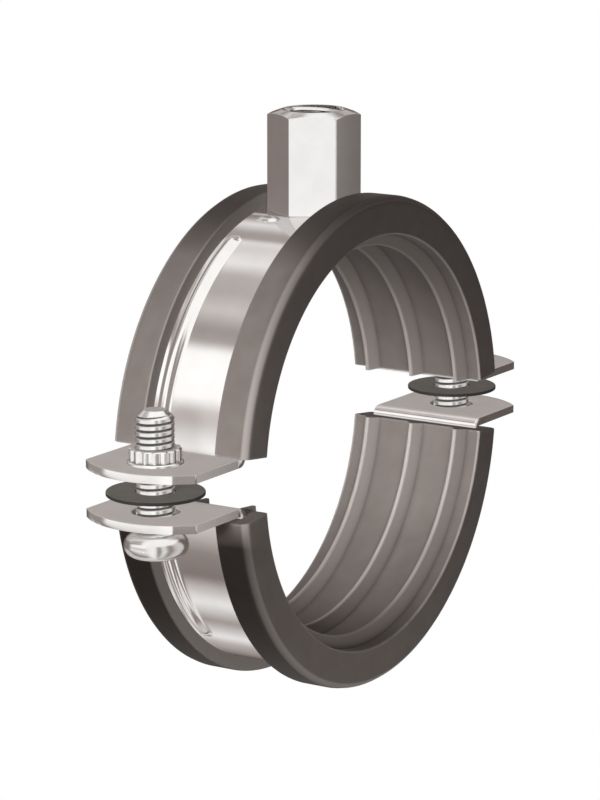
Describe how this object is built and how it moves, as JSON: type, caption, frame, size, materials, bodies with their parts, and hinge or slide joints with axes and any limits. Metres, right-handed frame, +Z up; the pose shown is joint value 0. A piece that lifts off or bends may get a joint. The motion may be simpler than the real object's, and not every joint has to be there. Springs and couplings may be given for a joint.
{
  "type": "universal pipe clip",
  "caption": "Two-screw pipe clip: a rubber-lined ring of steel strip with flanged ears, hung from a long threaded nut.",
  "frame": {"origin": "on the axis of the upper half's pipe seat, midway along it", "axes": "+Y along the pipe, +Z up to the connection nut, +X to the right ears; the part hangs from the nut"},
  "size_m": [0.1066, 0.0248, 0.0929],
  "materials": {
    "strip_steel": "bright zinc plated",
    "nut_steel": "satin zinc plated",
    "screw_steel": "bright zinc plated",
    "lining_rubber": "satin",
    "washer_plastic": "satin"
  },
  "bodies": {
    "upper_half": {"upper_band": "strip_steel", "upper_lining": "lining_rubber", "connection_nut": "nut_steel", "left_press_nut": "screw_steel", "right_press_nut": "screw_steel"},
    "lower_half": {"lower_band": "strip_steel", "lower_lining": "lining_rubber"},
    "left_screw": {"left_screw": "screw_steel"},
    "right_screw": {"right_screw": "screw_steel"},
    "left_washer": {"left_washer": "washer_plastic"},
    "right_washer": {"right_washer": "washer_plastic"}
  },
  "joints": [
    {"name": "clamp_travel", "type": "slide", "parent": "upper_half", "child": "lower_half", "axis": [0, 0, 1], "range_m": [-0.006, 0.0054]},
    {"name": "left_screw_turn", "type": "hinge", "parent": "lower_half", "child": "left_screw", "pos_m": [-0.04504, 0, 0], "axis": [0, 0, 1], "range_deg": [-2161, 1945]},
    {"name": "right_screw_turn", "type": "hinge", "parent": "lower_half", "child": "right_screw", "pos_m": [0.04504, 0, 0], "axis": [0, 0, 1], "range_deg": [-2161, 1945]},
    {"name": "left_washer_travel", "type": "slide", "parent": "upper_half", "child": "left_washer", "axis": [0, 0, 1], "range_m": [-0.00331, 0.00298]},
    {"name": "right_washer_travel", "type": "slide", "parent": "upper_half", "child": "right_washer", "axis": [0, 0, 1], "range_m": [-0.00331, 0.00298]}
  ],
  "couplings": [
    {"joint": "left_screw_turn", "follows": "clamp_travel", "rad_per_m": 6283.2},
    {"joint": "right_screw_turn", "follows": "clamp_travel", "rad_per_m": 6283.2},
    {"joint": "left_washer_travel", "follows": "clamp_travel", "ratio": 0.55},
    {"joint": "right_washer_travel", "follows": "clamp_travel", "ratio": 0.55}
  ]
}
